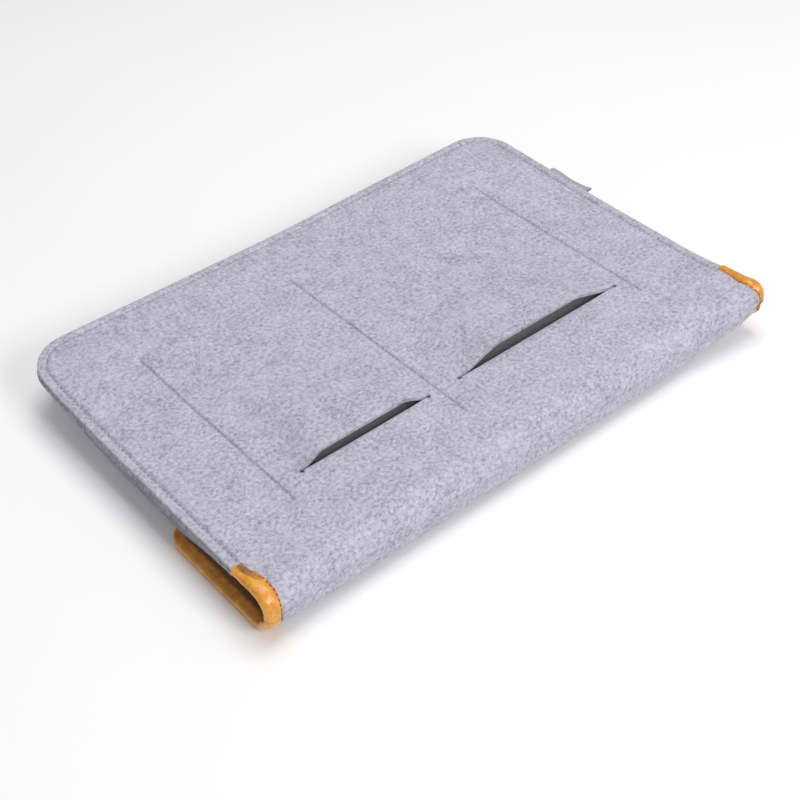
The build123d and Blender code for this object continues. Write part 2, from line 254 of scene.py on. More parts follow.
def sheet_mesh(xs, ss, keep, surface, thickness, butt=None):
    """A sheet over the cells of a grid that are kept: points, faces, and the number of the first butt face.

    surface(x, s, depth) gives points, at depth 0 on one face and at thickness on the other. Cut edges are
    rounded, apart from the row at s = butt, where another sheet carries on.
    """
    rows, cols = xs.shape
    used = np.zeros((rows, cols), bool)
    for dj in (0, 1):
        for di in (0, 1):
            used[dj:rows - 1 + dj, di:cols - 1 + di] |= keep
    index = np.full((rows, cols), -1)
    index[used] = np.arange(used.sum())
    x, s = xs[used], ss[used]
    count = len(x)
    j, i = np.nonzero(keep)
    cells = np.stack([index[j, i], index[j, i + 1], index[j + 1, i + 1], index[j + 1, i]], 1)

    around = np.pad(keep, 1)
    below, above = around[:-1, 1:-1], around[1:, 1:-1]
    left, right = around[1:-1, :-1], around[1:-1, 1:]
    following = np.full(count, -1)
    before = np.full(count, -1)
    for mask, start, end in ((above & ~below, (0, 0), (0, 1)), (below & ~above, (0, 1), (0, 0)),
                             (left & ~right, (0, 0), (1, 0)), (right & ~left, (1, 0), (0, 0))):
        j, i = np.nonzero(mask)
        a, b = index[j + start[0], i + start[1]], index[j + end[0], i + end[1]]
        following[a] = b
        before[b] = a
    rim = np.nonzero(following >= 0)[0]
    along_x = x[following[rim]] - x[before[rim]]
    along_s = s[following[rim]] - s[before[rim]]
    length = np.hypot(along_x, along_s)
    out_x, out_s = along_s / length, -along_x / length
    if butt is not None:
        at_butt = np.abs(s[rim] - butt) < 1e-6
        at_side = np.abs(np.abs(x[rim]) - np.abs(x).max()) < 1e-6
        out_s = np.where(at_butt, 0, out_s)
        out_x = np.where(at_butt, np.where(at_side, np.sign(x[rim]), 0), out_x)

    profile = rim_profile(thickness)
    face_points = []
    for out, depth in (profile[0], profile[-1]):
        face_x, face_s = x.copy(), s.copy()
        face_x[rim] += out * out_x
        face_s[rim] += out * out_s
        face_points.append(surface(face_x, face_s, np.full(count, depth)))
    rings = [surface(x[rim] + out * out_x, s[rim] + out * out_s, np.full(len(rim), depth))
             for out, depth in profile[1:-1]]
    points = np.concatenate(face_points + rings)

    place = np.full(count, -1)
    place[rim] = np.arange(len(rim))
    ring_index = [rim] + [2 * count + k * len(rim) + np.arange(len(rim)) for k in range(len(rings))]
    ring_index.append(count + rim)
    faces = cells.tolist() + (cells[:, ::-1] + count).tolist()
    after = place[following[rim]]
    butt_faces = []
    plain = np.zeros(len(rim), bool) if butt is None else at_butt & at_butt[after]
    for ring, lower_ring in zip(ring_index, ring_index[1:]):
        quads = np.stack([ring[after], ring, lower_ring, lower_ring[after]], 1)
        faces += quads[~plain].tolist()
        butt_faces += quads[plain].tolist()
    return points, faces + butt_faces, len(faces)


OUTLINE_HOLD = 140.0  # the columns within this distance of the middle stay straight at the corners
FLAP_HOLD = 150.0


def round_outline(xs, ss, corner_s, direction, radius, hold, full_half=HALF):
    """Draw the grid's outer columns in where the outline turns its two corners."""
    past = np.clip((ss - corner_s) * direction, 0, radius)
    half = full_half - radius + np.sqrt(radius * radius - past * past)
    share = (half - hold) / (full_half - hold)
    outer = np.abs(xs) > hold
    return np.where(outer, np.sign(xs) * (hold + (np.abs(xs) - hold) * share), xs)


def corner_rows(corner_s, direction, radius, count):
    """Rows that sample a corner's arc evenly."""
    return [corner_s + direction * radius * math.sin(k / count * math.pi / 2) for k in range(count + 1)]


def edge_distance(x, s):
    """How far inside the sleeve's outline a point lies; the near end counts as open."""
    qx = np.abs(x) - (HALF - CORNER_RADIUS)
    qs = s - (FAR - CORNER_RADIUS)
    return CORNER_RADIUS - np.where((qx > 0) & (qs > 0), np.hypot(qx, qs), np.maximum(qx, qs))


# ---- the felt's relief ----
def groove(distance, depth=1.1, width=0.9, pull=0.6, spread=3.5):
    """How deep a seam presses the felt at a distance from the thread."""
    return depth * np.exp(-(distance / width) ** 2) + pull * np.exp(-np.abs(distance) / spread)


def pocket_lift(x, s):
    """How far the open pocket mouths lift the felt behind each slit."""
    total = np.zeros_like(x)
    back = np.clip((s - SLIT_Y) / LIFT_FADE, 0, 1)
    for x0, left, right, x1, height in SLITS.values():
        rise = np.clip((x - x0) / (left - x0 + 14 * back), 0, 1)
        fall = np.clip((x1 - x) / (x1 - right + 14 * back), 0, 1)
        ramp = np.minimum(rise, fall)
        softness = np.clip(0.25 + 4 * back, 0, 1)
        shape = ramp + (smooth(ramp) - ramp) * softness
        total += np.where(s > SLIT_Y, height * (1 - back) ** 1.2 * shape, 0)
    return total


def felt_noise(points, seed):
    return 0.07 * cloudy(points, 3.2, seed) + 0.06 * cloudy(points, 9.0, seed + 5)


def rough_felt(x, s, depth, relief=0.0):
    """The folded sheet's felt at a depth below its outer face, which has relief and small bumps."""
    share = 1 - depth / FELT
    bumps = felt_noise(on_fold(x, s, -depth), 3.0) * smooth(np.abs(s - S_MID) / 6)
    return on_fold(x, s, (relief + bumps) * share - depth)


def back_surface(x, s, depth):
    """The back panel's felt, with its seams, its soft unevenness and its lifted pocket mouths."""
    inside = edge_distance(x, s)
    relief = -groove(inside - EDGE_SEAM) * smooth((s - MOUTH - 1) / 4)
    for seam_x, start, end in POCKET_SEAMS.values():
        ends = fade(s, start - 1, start + 2) * fade(s, end + 1, end - 2)
        relief -= groove(x - seam_x, 1.4, 0.6, 0.5, 4.0) * ends
    relief -= 0.45 * np.clip(1 - inside / 4.5, 0, 1) ** 2 * smooth((s - BEND_Y) / 10)
    points = rough_felt(x, s, depth, relief)
    sway = 0.5 * cloudy_2d(x, s, 70.0, 11.0) * smooth(inside / 25) * smooth((s - BEND_Y) / 25)
    points[..., 2] += pocket_lift(x, s) + sway
    return points


def both_sides(inset, half_width, step):
    """Finer columns at an inset from each side."""
    return [(side * (HALF - inset), half_width, step) for side in (-1, 1)]


FINE_SIDES = both_sides(1.5, 1.5, 0.5)
FINE_SEAM = (2.4, 0.4)  # the grid is finer within this distance of a seam, with this step
HOLE_LINES = (-RELIEF, -0.85, -SLIT_HALF, SLIT_HALF, 0.85, RELIEF)


def make_felt_back(material):
    ends = [x for slit in SLITS.values() for x in (slit[0], slit[3])]
    exact_x = [end + d for end in ends for d in HOLE_LINES]
    fine_x = [(seam[0], *FINE_SEAM) for seam in POCKET_SEAMS.values()]
    fine_x += both_sides(EDGE_SEAM, *FINE_SEAM) + FINE_SIDES
    columns = grid_lines(-HALF, HALF, 2.0, fine_x, exact_x)
    corner_s = FAR - CORNER_RADIUS
    exact_s = [SLIT_Y + d for d in HOLE_LINES] + corner_rows(corner_s, 1, CORNER_RADIUS, 40)
    rows = grid_lines(S_MID, FAR, 2.0, [((BEND_Y + S_SPINE) / 2, 10, 1.0)], exact_s)
    xs, ss = np.meshgrid(columns, rows)
    middle_x = (xs[1:, 1:] + xs[:-1, :-1]) / 2
    middle_s = (ss[1:, 1:] + ss[:-1, :-1]) / 2
    keep = np.ones(middle_x.shape, bool)
    for slit in SLITS.values():
        across = (middle_x > slit[0]) & (middle_x < slit[3])
        keep &= ~(across & (np.abs(middle_s - SLIT_Y) < SLIT_HALF))
        for end in (slit[0], slit[3]):
            keep &= ~((np.abs(middle_x - end) < RELIEF) & (np.abs(middle_s - SLIT_Y) < RELIEF))
            dx, ds = xs - end, ss - SLIT_Y
            on_hole = np.abs(np.maximum(np.abs(dx), np.abs(ds)) - RELIEF) < 1e-6
            away = np.hypot(dx, ds)
            xs = np.where(on_hole, end + dx * RELIEF / away, xs)
            ss = np.where(on_hole, SLIT_Y + ds * RELIEF / away, ss)
    xs = round_outline(xs, ss, corner_s, 1, CORNER_RADIUS, OUTLINE_HOLD)
    points, faces, butt = sheet_mesh(xs, ss, keep, back_surface, FELT, S_MID)
    return make_object("felt_back", points, faces, material, butt)


def all_cells(xs):
    return np.ones(np.subtract(xs.shape, 1), bool)


def sheet_object(name, grid, surface, thickness, material, butt=None):
    """A sheet over all cells of a grid."""
    points, faces, first_butt = sheet_mesh(*grid, all_cells(grid[0]), surface, thickness, butt)
    return make_object(name, points, faces, material, first_butt)


def flap_grid(inset, steps, fine_x, fold_step, arc_steps):
    """A grid over the flap's outline moved in by an inset, up to the middle of the fold. steps has the
    spacing of its columns and of its rows."""
    half, radius = HALF - inset, FLAP_CORNER_RADIUS - inset
    corner_s = S_END + FLAP_CORNER_RADIUS
    columns = grid_lines(-half, half, steps[0], fine_x)
    rows = grid_lines(S_END + inset, S_MID, steps[1], [((S_LOWER + S_FLAP) / 2, 10, fold_step)],
                      corner_rows(corner_s, -1, radius, arc_steps))
    xs, ss = np.meshgrid(columns, rows)
    return round_outline(xs, ss, corner_s, -1, radius, FLAP_HOLD, half), ss


def make_felt_flap(material):
    grid = flap_grid(0, (3.0, 2.5), FINE_SIDES, 1.0, 24)
    return sheet_object("felt_flap", grid, rough_felt, FELT, material, S_MID)


# ---- front panel and linings ----
WALL_START = 7.0  # the tray's wall starts this far inside the outline and ends this far
WALL_END = 18.5
STEP = (-23.5, -5.5)  # between these its floor drops from over the flap to the ground
RIM_TOP = TOP - FELT - 0.2
HEM_Y = MOUTH + 4.4
SIDE_FULLNESS = 2.6  # how far the side seams hang below the frame's flange
THIN_AT_MOUTH = 5.6  # and how much higher they are at the mouth and at the far corners
THIN_AT_CORNERS = 5.4


def flange_level(x, s):
    """The underside of the side seams: full along the sides, thin at the mouth and at the corners."""
    near_mouth = fade(s, -45, -85)
    corner = fade(np.abs(x), 140, 180) * fade(s, 22, 80)
    return FLANGE - SIDE_FULLNESS + THIN_AT_MOUTH * near_mouth + THIN_AT_CORNERS * corner


def tray_height(x, s):
    """The underside of the front panel."""
    inside = edge_distance(x, s)
    floor = OVER_FLAP * (1 - fade(s, *STEP))
    t = np.clip((inside - WALL_START) / (WALL_END - WALL_START), 0, 1)
    wall = 0.5 * t + 0.5 * smooth(t)
    level = flange_level(x, s)
    return level + (floor - level) * wall


def tray_surface(inset, thickness, seams):
    """A surface function for one layer of the tray, whose underside lies an inset inside the panel's."""
    def surface(x, s, depth):
        h = 0.05
        slope_x = (tray_height(x + h, s) - tray_height(x - h, s)) / (2 * h)
        slope_s = (tray_height(x, s + h) - tray_height(x, s - h)) / (2 * h)
        normal = unit(np.stack([-slope_x, -slope_s, np.ones_like(x)], -1))
        underside = tray_height(x, s)
        share = depth / thickness
        rise = inset + thickness - depth
        if seams:
            # pressed against the back panel along the seam, the felt fills the space up to it
            pressed = fade(edge_distance(x, s), 7.0, 3.5)
            rise += (1 - share) * (RIM_TOP - underside - thickness) * pressed
        points = np.stack([x, s, underside], -1) + normal * rise[..., None]
        if seams:
            points[..., 0] += 1.2 * np.sign(x) * fade(edge_distance(x, s), 3, 0) * share
            relief = groove(edge_distance(x, s) - EDGE_SEAM, 0.6) + groove(s - HEM_Y, 0.6)
            points[..., 2] += (relief + felt_noise(points, 21.0)) * share
        return points
    return surface


def panel_grid(inset, near, step, fine_x, fine_s):
    """A grid over the sleeve's outline moved in by an inset, from s = near to the far edge."""
    half, radius = HALF - inset, CORNER_RADIUS - inset
    corner_s = FAR - CORNER_RADIUS
    columns = grid_lines(-half, half, step, fine_x)
    rows = grid_lines(near, FAR - inset, step, fine_s, corner_rows(corner_s, 1, radius, 24))
    xs, ss = np.meshgrid(columns, rows)
    return round_outline(xs, ss, corner_s, 1, radius, OUTLINE_HOLD, half), ss


def make_tray_layer(name, inset, thickness, outline_inset, seams, material):
    fine_s = [(HEM_Y, 2.4, 0.6), (FAR - 12, 9, 1.0)]
    xs, ss = panel_grid(outline_inset, MOUTH, 3.0, both_sides(10, 10, 0.9), fine_s)
    surface = tray_surface(inset, thickness, seams)
    points, faces, _ = sheet_mesh(xs, ss, all_cells(xs), surface, thickness)
    # painted shade: the edge values darken the side faces at their outer edge, more so lower down, where the
    # sides are turned away from the light
    low = smooth((TOP - FELT - points[:, 2]) / 6)
    edge = smooth((2.0 - edge_distance(points[:, 0], points[:, 1])) / 1.5) * (0.35 + 0.65 * low)
    return make_object(name, points, faces, material, None, ("edge", edge))


LINING = 0.6
LINING_INSET = 7.2
DISH = (-143.0, 144.0, -88.0, 87.0)
DISH_DEPTH = 2.6


def inside_box(x, s, x0, x1, s0, s1):
    """How far inside a rectangle a point lies."""
    return np.minimum(np.minimum(x - x0, x1 - x), np.minimum(s - s0, s1 - s))


def back_lining_surface(x, s, depth):
    """The lining under the back panel: it dips under the pocket bags and has soft creases."""
    nearest = inside_box(x, s, *DISH)
    points = on_fold(x, s, -FELT - 0.05 - depth)
    creases = 0.25 * cloudy_2d(x, s, 18.0, 31.0) * smooth(nearest / 20)
    points[..., 2] -= DISH_DEPTH * smooth(nearest / 10) + creases
    return points


def make_back_lining(material):
    grid = panel_grid(LINING_INSET, S_MID, 4.0, (), [((BEND_Y + S_SPINE) / 2, 10, 1.2)])
    return sheet_object("lining_back", grid, back_lining_surface, LINING, material, S_MID)


FLAP_LINING_INSET = 9.6
FLAP_LINING = 0.5


# The flap's lining is real cloth, made near-black as painted shade for the inside of the fold.
def make_flap_lining(material):
    def surface(x, s, depth):
        return on_fold(x, s, -FELT - 0.03 - depth)
    grid = flap_grid(FLAP_LINING_INSET, (4.0, 4.0), (), 1.2, 12)
    return sheet_object("lining_flap", grid, surface, FLAP_LINING, material, S_MID)


BAG_MARGIN = 4.0
BAG_GAP = 0.3
BAG_SPAN = (-82.0, 81.0)
BAG_DEPTH = 2.0
BAG_CLOTH = 0.4


def make_pocket_bag(side, material):
    out = -1 if side == "left" else 1
    inner = POCKET_SEAMS["centre"][0] + out * BAG_GAP
    x0, x1 = sorted((inner, POCKET_SEAMS[side][0] + out * BAG_MARGIN))

    def surface(x, s, depth):
        nearest = inside_box(x, s, x0, x1, *BAG_SPAN)
        sag = BAG_DEPTH * smooth((nearest - 1.5) / 10)
        creases = 0.12 * cloudy_2d(x, s, 14.0, 41.0) * smooth(nearest / 12)
        return np.stack([x, s, TOP - FELT - 0.03 - depth - sag + creases], -1)
    grid = np.meshgrid(grid_lines(x0, x1, 2.5), grid_lines(*BAG_SPAN, 2.5))
    bag = sheet_object(side + "_pocket_cloth", grid, surface, BAG_CLOTH, material)
    return bag


# ---- leather binding ----
def binding_section(width, margin, puff, inner_width, overhang):
    """The binding's closed outline, as (inwards from the edge, n): a flat stitched margin, a padded rim that
    goes round the edge, and a strip on the inside."""
    step = width - margin
    inside = -FELT
    outer = [
        (width + 0.1, 0.05), (width + 0.05, 0.5), (width - 0.35, 0.72), (step + 0.9, 0.66), (step + 0.3, 0.5),
        (step - 0.1, 0.42), (step - 0.7, 0.6 * puff), (step - 1.9, puff), (step * 0.45, puff + 0.1),
        (0.6, puff - 0.2), (-0.7 * overhang, puff * 0.45 - 0.2), (-1.25 * overhang, -0.9),
        (-1.3 * overhang, -2.0), (-0.8 * overhang, inside - 0.4),
        (0.6, inside - 1.0), (inner_width * 0.5, inside - 0.95), (inner_width - 0.5, inside - 0.75),
        (inner_width, inside - 0.2)]
    inner = [
        (inner_width - 0.2, inside - 0.02), (inner_width * 0.5, inside - 0.02), (0.7, inside - 0.02),
        (0.1, inside + 0.3), (-0.03, inside + 1.0), (-0.03, -0.8), (0.1, -0.3), (0.7, 0.02),
        (step * 0.5, 0.02), (step, 0.02), (width - 0.3, 0.02)]
    return np.array(outer + inner)


def rounded(ring):
    """Cut the corners of a closed outline."""
    for _ in range(2):
        following = np.roll(ring, -1, axis=0)
        ring = np.stack([0.75 * ring + 0.25 * following, 0.25 * ring + 0.75 * following], 1).reshape(-1, 2)
    return ring


def sizes_at(grades, share):
    """A section's sizes at a share of the way. Each has its first value and then its changes, as the shares
    between which it changes and by how much."""
    sizes = {}
    for name, (first, *changes) in grades.items():
        sizes[name] = first + sum(amount * float(fade(share, *span)) for *span, amount in changes)
    return sizes


def tube_faces(count, size):
    """Faces between following rings of points, with size points in each."""
    faces = []
    for k in range(count - 1):
        first = k * size
        for i in range(size):
            j = (i + 1) % size
            faces.append((first + j, first + size + j, first + size + i, first + i))
    return faces


def binding_mesh(stations, grades):
    """Sweep a section along stations (x, s, inwards x, inwards s, share of the way): points, faces, the
    number of the first flat face, and how dark the leather is at each point: darker on its margin, and with
    painted shade on the strip inside the fold."""
    rings, margin_and_painted_shade = [], []
    for x, s, in_x, in_s, share in stations:
        sizes = sizes_at(grades, share)
        width, margin = sizes["width"], sizes["margin"]
        section = rounded(binding_section(**sizes))
        d, n = section.T
        place = on_fold(x + in_x * d, s + in_s * d, n)
        wrinkles = 0.2 * cloudy(place, 5.5, 51.0) + 0.12 * cloudy(place, 2.3, 54.0)
        along = np.roll(section, -1, 0) - np.roll(section, 1, 0)
        outwards = unit(np.stack([-along[:, 1], along[:, 0]], -1))
        free = smooth((n - 0.3) / 0.4) + smooth((-0.4 - d) / 0.5) + smooth((-FELT - 0.4 - n) / 0.4)
        section = section - outwards * (wrinkles * np.minimum(free, 1))[:, None]
        d, n = section.T
        rings.append(on_fold(x + in_x * d, s + in_s * d, n))
        on_margin = smooth((d - (width - margin) + 0.9) / 0.6) * smooth((n - 0.1) / 0.1)
        # painted shade: the strip on the fold's inner face darkens towards its inner edge, where the sleeve
        # above shades it
        inside = smooth((d - 3.6) / 3.4) * smooth((-FELT - n) / 0.1)
        margin_and_painted_shade.append(on_margin * float(smooth((margin - 1.4) / 1.0)) + 1.7 * inside)
    size = len(rings[0])
    faces = tube_faces(len(rings), size)
    flat_from = len(faces)
    last = (len(rings) - 1) * size
    faces += [tuple(range(size)), tuple(last + i for i in reversed(range(size)))]
    return np.concatenate(rings), faces, flat_from, np.concatenate(margin_and_painted_shade)


# from the start to the middle of the fold, and from there to the end on the flap; the right side's leather
# is narrower, and flatter where it goes under
SECTIONS = {
    "left": (
        dict(width=(6.0, (0.08, 0.53, 3.3), (0.6, 1.0, -0.9)),
             margin=(2.97, (0.0, 0.03, 0.33), (0.36, 0.52, -2.4)),
             puff=(0.6325, (0.0, 0.03, 0.5175), (0.3, 0.65, 1.0)),
             inner_width=(6.8, (0.5, 1.0, 2.6)),
             overhang=(1.0,)),
        dict(width=(8.4, (0.0, 0.2, 1.1)),
             margin=(0.9, (0.1, 0.3, 1.8)),
             puff=(2.15, (0.0, 0.17, -1.25)),
             inner_width=(9.4,),
             overhang=(1.0,))),
    "right": (
        dict(width=(5.0, (0.15, 0.55, 2.2), (0.6, 0.95, -4.8)),
             margin=(1.17, (0.0, 0.03, 0.13), (0.36, 0.52, -0.4)),
             puff=(0.9, (0.2, 0.5, 0.5), (0.6, 0.95, -0.7)),
             inner_width=(6.8, (0.5, 1.0, 2.6)),
             overhang=(1.0, (0.6, 0.95, -0.75))),
        dict(width=(2.4, (0.14, 0.36, 7.1)),
             margin=(0.9, (0.15, 0.35, 1.8)),
             puff=(0.7, (0.1, 0.3, 0.2)),
             inner_width=(9.4,),
             overhang=(0.25, (0.1, 0.3, 0.75)))),
}


def upper_stations():
    rows = grid_lines(S_MID, MOUTH, 0.9, [(MOUTH - 1.2, 1.2, 0.3)])[::-1]
    return [(-HALF, s, 1, 0, (MOUTH - s) / (MOUTH - S_MID)) for s in rows]


LEATHER_REACH = 34.0


def lower_stations():
    """Along the flap's side, round its corner, and a little way along its free edge."""
    corner_s = S_END + FLAP_CORNER_RADIUS
    centre_x = -HALF + FLAP_CORNER_RADIUS
    stations = [(-HALF, s, 1, 0) for s in grid_lines(corner_s, S_MID, 1.2)[::-1]]
    for k in range(1, 20):
        a = k / 20 * math.pi / 2
        in_x, in_s = math.cos(a), math.sin(a)
        x, s = centre_x - FLAP_CORNER_RADIUS * in_x, corner_s - FLAP_CORNER_RADIUS * in_s
        stations.append((x, s, in_x, in_s))
    for x in grid_lines(centre_x, -HALF + LEATHER_REACH, 1.4):
        stations.append((x, S_END, 0, 1))
    count = len(stations) - 1
    return [(*station, k / count) for k, station in enumerate(stations)]


# ---- stitches ----
# pitch, length, radius, and height above the sheet
EDGE_STITCH = (3.8, 2.9, 0.3, 0.12)
POCKET_STITCH = (3.4, 2.6, 0.3, 0.1)
CORNER_STITCH = (2.3, 1.6, 0.24, 0.62)
FLAP_STITCH = (2.3, 1.6, 0.22, 0.62)
INNER_STITCH = (2.3, 1.6, 0.22, 0.85)
INNER_SEAM = 7.6  # from the flap's edge, on its inner face
THREAD_SIDES = 6


def stitch_mesh(route, surface, pitch, length, radius, level):
    """A row of stitches along a route of (x, s) points, each a short thread whose ends dip in."""
    route = np.array(route, float)
    run = np.concatenate([[0], np.cumsum(np.hypot(*np.diff(route, axis=0).T))])
    count = int(run[-1] / pitch)
    starts = (run[-1] - (count - 1) * pitch - length) / 2 + pitch * np.arange(count)
    steps = np.array([0.0, 0.12, 0.35, 0.65, 0.88, 1.0])
    height = np.array([-0.9, 0.1, 0.75, 0.75, 0.1, -0.9]) * radius
    thick = np.array([0.5, 0.9, 1.0, 1.0, 0.9, 0.5]) * radius
    u = starts[:, None] + steps[None] * length
    x = np.interp(u, run, route[:, 0])
    s = np.interp(u, run, route[:, 1])
    centre = surface(x, s, level + np.broadcast_to(height, x.shape))
    up = unit(surface(x, s, level + 1.0 + np.broadcast_to(height, x.shape)) - centre)
    across = unit(np.cross(np.gradient(centre, axis=1), up))
    sides = THREAD_SIDES
    angles = np.arange(sides) * 2 * math.pi / sides
    ring = (centre[:, :, None] + thick[None, :, None, None] *
            (np.cos(angles)[:, None] * across[:, :, None] + np.sin(angles)[:, None] * up[:, :, None]))
    points = ring.reshape(-1, 3)
    size = len(steps) * sides
    stitch = [(d, a, b, c) for a, b, c, d in tube_faces(len(steps), sides)]
    stitch += [tuple(reversed(range(sides))), tuple(range(size - sides, size))]
    return points, [tuple(k * size + i for i in face) for k in range(count) for face in stitch]


def seam_route(inset):
    """Round the two sides and the far edge, at an inset from the outline."""
    radius = CORNER_RADIUS - inset
    centre_x, centre_s = HALF - CORNER_RADIUS, FAR - CORNER_RADIUS
    arc = [(centre_x + radius * math.cos(a), centre_s + radius * math.sin(a))
           for a in np.linspace(0, math.pi / 2, 17)]
    right = [(HALF - inset, MOUTH + 2)] + arc
    return right + [(-x, s) for x, s in reversed(right)]


def thread_on(surface, depth, up):
    """Surface function for threads: n goes up or down from the surface's points at a depth."""
    def place(x, s, n):
        points = surface(x, s, np.full_like(x, depth))
        points[..., 2] += up * n
        return points
    return place


# ---- materials ----
class Shader:
    """A material's nodes, added and linked by short calls."""

    def __init__(self, name):
        self.material = bpy.data.materials.new(name)
        self.material.use_nodes = True
        self.tree = self.material.node_tree
        self.tree.nodes.clear()
        output = self.tree.nodes.new("ShaderNodeOutputMaterial")
        self.principled = self.tree.nodes.new("ShaderNodeBsdfPrincipled")
        self.link(self.principled.outputs["BSDF"], output.inputs["Surface"])
        self.coordinates = self.tree.nodes.new("ShaderNodeTexCoord").outputs["Object"]

    def link(self, a, b):
        self.tree.links.new(a, b)

    def set(self, **values):
        for name, value in values.items():
            self.principled.inputs[name.replace("_", " ")].default_value = value

    def texture(self, kind, vector=None, **inputs):
        """A texture or mapping node over the piece's own coordinates, with some inputs set."""
        node = self.tree.nodes.new(kind)
        for name, value in inputs.items():
            node.inputs[name].default_value = value
        self.link(vector or self.coordinates, node.inputs["Vector"])
        return node

    def mapped(self, rotation, scale):
        turn = [math.radians(a) for a in rotation]
        return self.texture("ShaderNodeMapping", Rotation=turn, Scale=scale).outputs["Vector"]

    def noise(self, scale, detail=2.0, roughness=0.5, vector=None, distortion=0.0):
        node = self.texture("ShaderNodeTexNoise", vector, Scale=scale, Detail=detail, Roughness=roughness,
                            Distortion=distortion)
        return node.outputs["Fac"]

    def wave(self, scale, direction, distortion):
        node = self.texture("ShaderNodeTexWave", Scale=scale, Distortion=distortion)
        node.bands_direction = direction
        return node.outputs["Fac"]

    def cells(self, scale):
        return self.texture("ShaderNodeTexVoronoi", Scale=scale).outputs["Distance"]

    def attribute(self, name):
        node = self.tree.nodes.new("ShaderNodeAttribute")
        node.attribute_name = name
        return node.outputs["Fac"]

    def math(self, operation, a, b):
        node = self.tree.nodes.new("ShaderNodeMath")
        node.operation = operation
        for socket, value in zip(node.inputs, (a, b)):
            if isinstance(value, (int, float)):
                socket.default_value = value
            else:
                self.link(value, socket)
        return node.outputs["Value"]

    def blend(self, weighted):
        """The weighted sum of some values."""
        total, *others = [self.math("MULTIPLY", value, weight) for value, weight in weighted]
        for term in others:
            total = self.math("ADD", total, term)
        return total

    def colour(self, value, stops):
        """Colour the piece by a value, along a ramp of (position, colour) stops."""
        node = self.tree.nodes.new("ShaderNodeValToRGB")
        elements = node.color_ramp.elements
        while len(elements) < len(stops):
            elements.new(0.5)
        for element, (position, colour) in zip(elements, stops):
            element.position = position
            element.color = (*colour, 1)
        self.link(value, node.inputs["Fac"])
        self.link(node.outputs["Color"], self.principled.inputs["Base Color"])

    def bump(self, height, strength, distance):
        node = self.tree.nodes.new("ShaderNodeBump")
        node.inputs["Strength"].default_value = strength
        node.inputs["Distance"].default_value = distance
        self.link(height, node.inputs["Height"])
        self.link(node.outputs["Normal"], self.principled.inputs["Normal"])


def felt_material(name, shadow, dark, middle, light):
    """Needle-punched felt: pale and grey fibres lying in every direction, with painted shade darkening it at
    the outer edge of the sides, from the edge attribute."""
    shader = Shader(name)
    clumps = shader.noise(440, 3, 0.65, None, 0.4)
    layers = [(shader.noise(70), 0.10), (clumps, 0.42), (shader.noise(1500, 2, 0.6), 0.12)]
    for angle in (25, 78, 132):
        lay = shader.mapped((0, 0, angle), (420, 2300, 1400))
        layers.append((shader.noise(1.0, 2, 0.6, lay, 0.8), 0.12))
    value = shader.blend(layers)
    # painted shade: the edge attribute darkens the felt at the outer edge of the sides
    tone = shader.blend([(value, 1.0), (shader.attribute("edge"), -0.13)])
    shader.colour(tone, [(0.33, shadow), (0.415, dark), (0.5, middle), (0.585, light)])
    shader.bump(value, 0.4, 0.0008)
    shader.set(Roughness=0.95, Sheen_Weight=0.15, Sheen_Roughness=0.5, Specular_IOR_Level=0.15)
    return shader.material


def leather_material():
    """Glossy coated leather, darker and rougher on its flat stitched margin, and with painted shade on its
    strip inside the fold.
    """
    shader = Shader("amber_leather")
    tone = shader.noise(90, 4, 0.6)
    grain = shader.cells(1500)
    creases = shader.noise(420, 3, 0.55, None, 0.8)
    # the margin attribute also carries painted shade on the strip inside the fold
    margin = shader.attribute("margin")
    value = shader.blend([(tone, 0.6), (creases, 0.4), (margin, -0.26)])
    shader.colour(value, [(0.12, (0.20, 0.085, 0.012)), (0.36, (0.56, 0.20, 0.012)),
                                      (0.52, (0.76, 0.32, 0.03)), (0.68, (0.86, 0.42, 0.06))])
    shader.bump(shader.blend([(creases, 0.6), (grain, 0.4)]), 0.35, 0.0005)
    roughness = shader.blend([(creases, 0.2), (margin, 0.25), (tone, 0.3)])
    shader.link(roughness, shader.principled.inputs["Roughness"])
    shader.set(Coat_Weight=0.4, Coat_Roughness=0.3)
    return shader.material


def woven_material(name, dark, light, pitch):
    """Plain-woven cloth with a thread pitch in metres."""
    shader = Shader(name)
    scale = 1 / (pitch * math.pi)
    weave = shader.math("MAXIMUM", shader.wave(scale, "X", 0.6), shader.wave(scale, "Y", 0.6))
    value = shader.blend([(weave, 0.6), (shader.noise(300, 3), 0.4)])
    shader.colour(value, [(0.3, dark), (0.8, light)])
    shader.bump(value, 0.5, 0.0004)
    shader.set(Roughness=0.85, Sheen_Weight=0.1, Specular_IOR_Level=0.25)
    return shader.material


def thread_material(name, dark, light):
    """Twisted sewing thread."""
    shader = Shader(name)
    value = shader.blend([(shader.wave(700, "DIAGONAL", 1.0), 0.5), (shader.noise(2500, 2), 0.5)])
    shader.colour(value, [(0.25, dark), (0.75, light)])
    shader.bump(value, 0.5, 0.0002)
    shader.set(Roughness=0.7, Sheen_Weight=0.1)
    return shader.material


# ---- pieces ----
FELT_GREY = felt_material("felt_grey", (0.17, 0.168, 0.2), (0.285, 0.28, 0.342),
                          (0.458, 0.449, 0.525), (0.59, 0.58, 0.66))
LEATHER = leather_material()
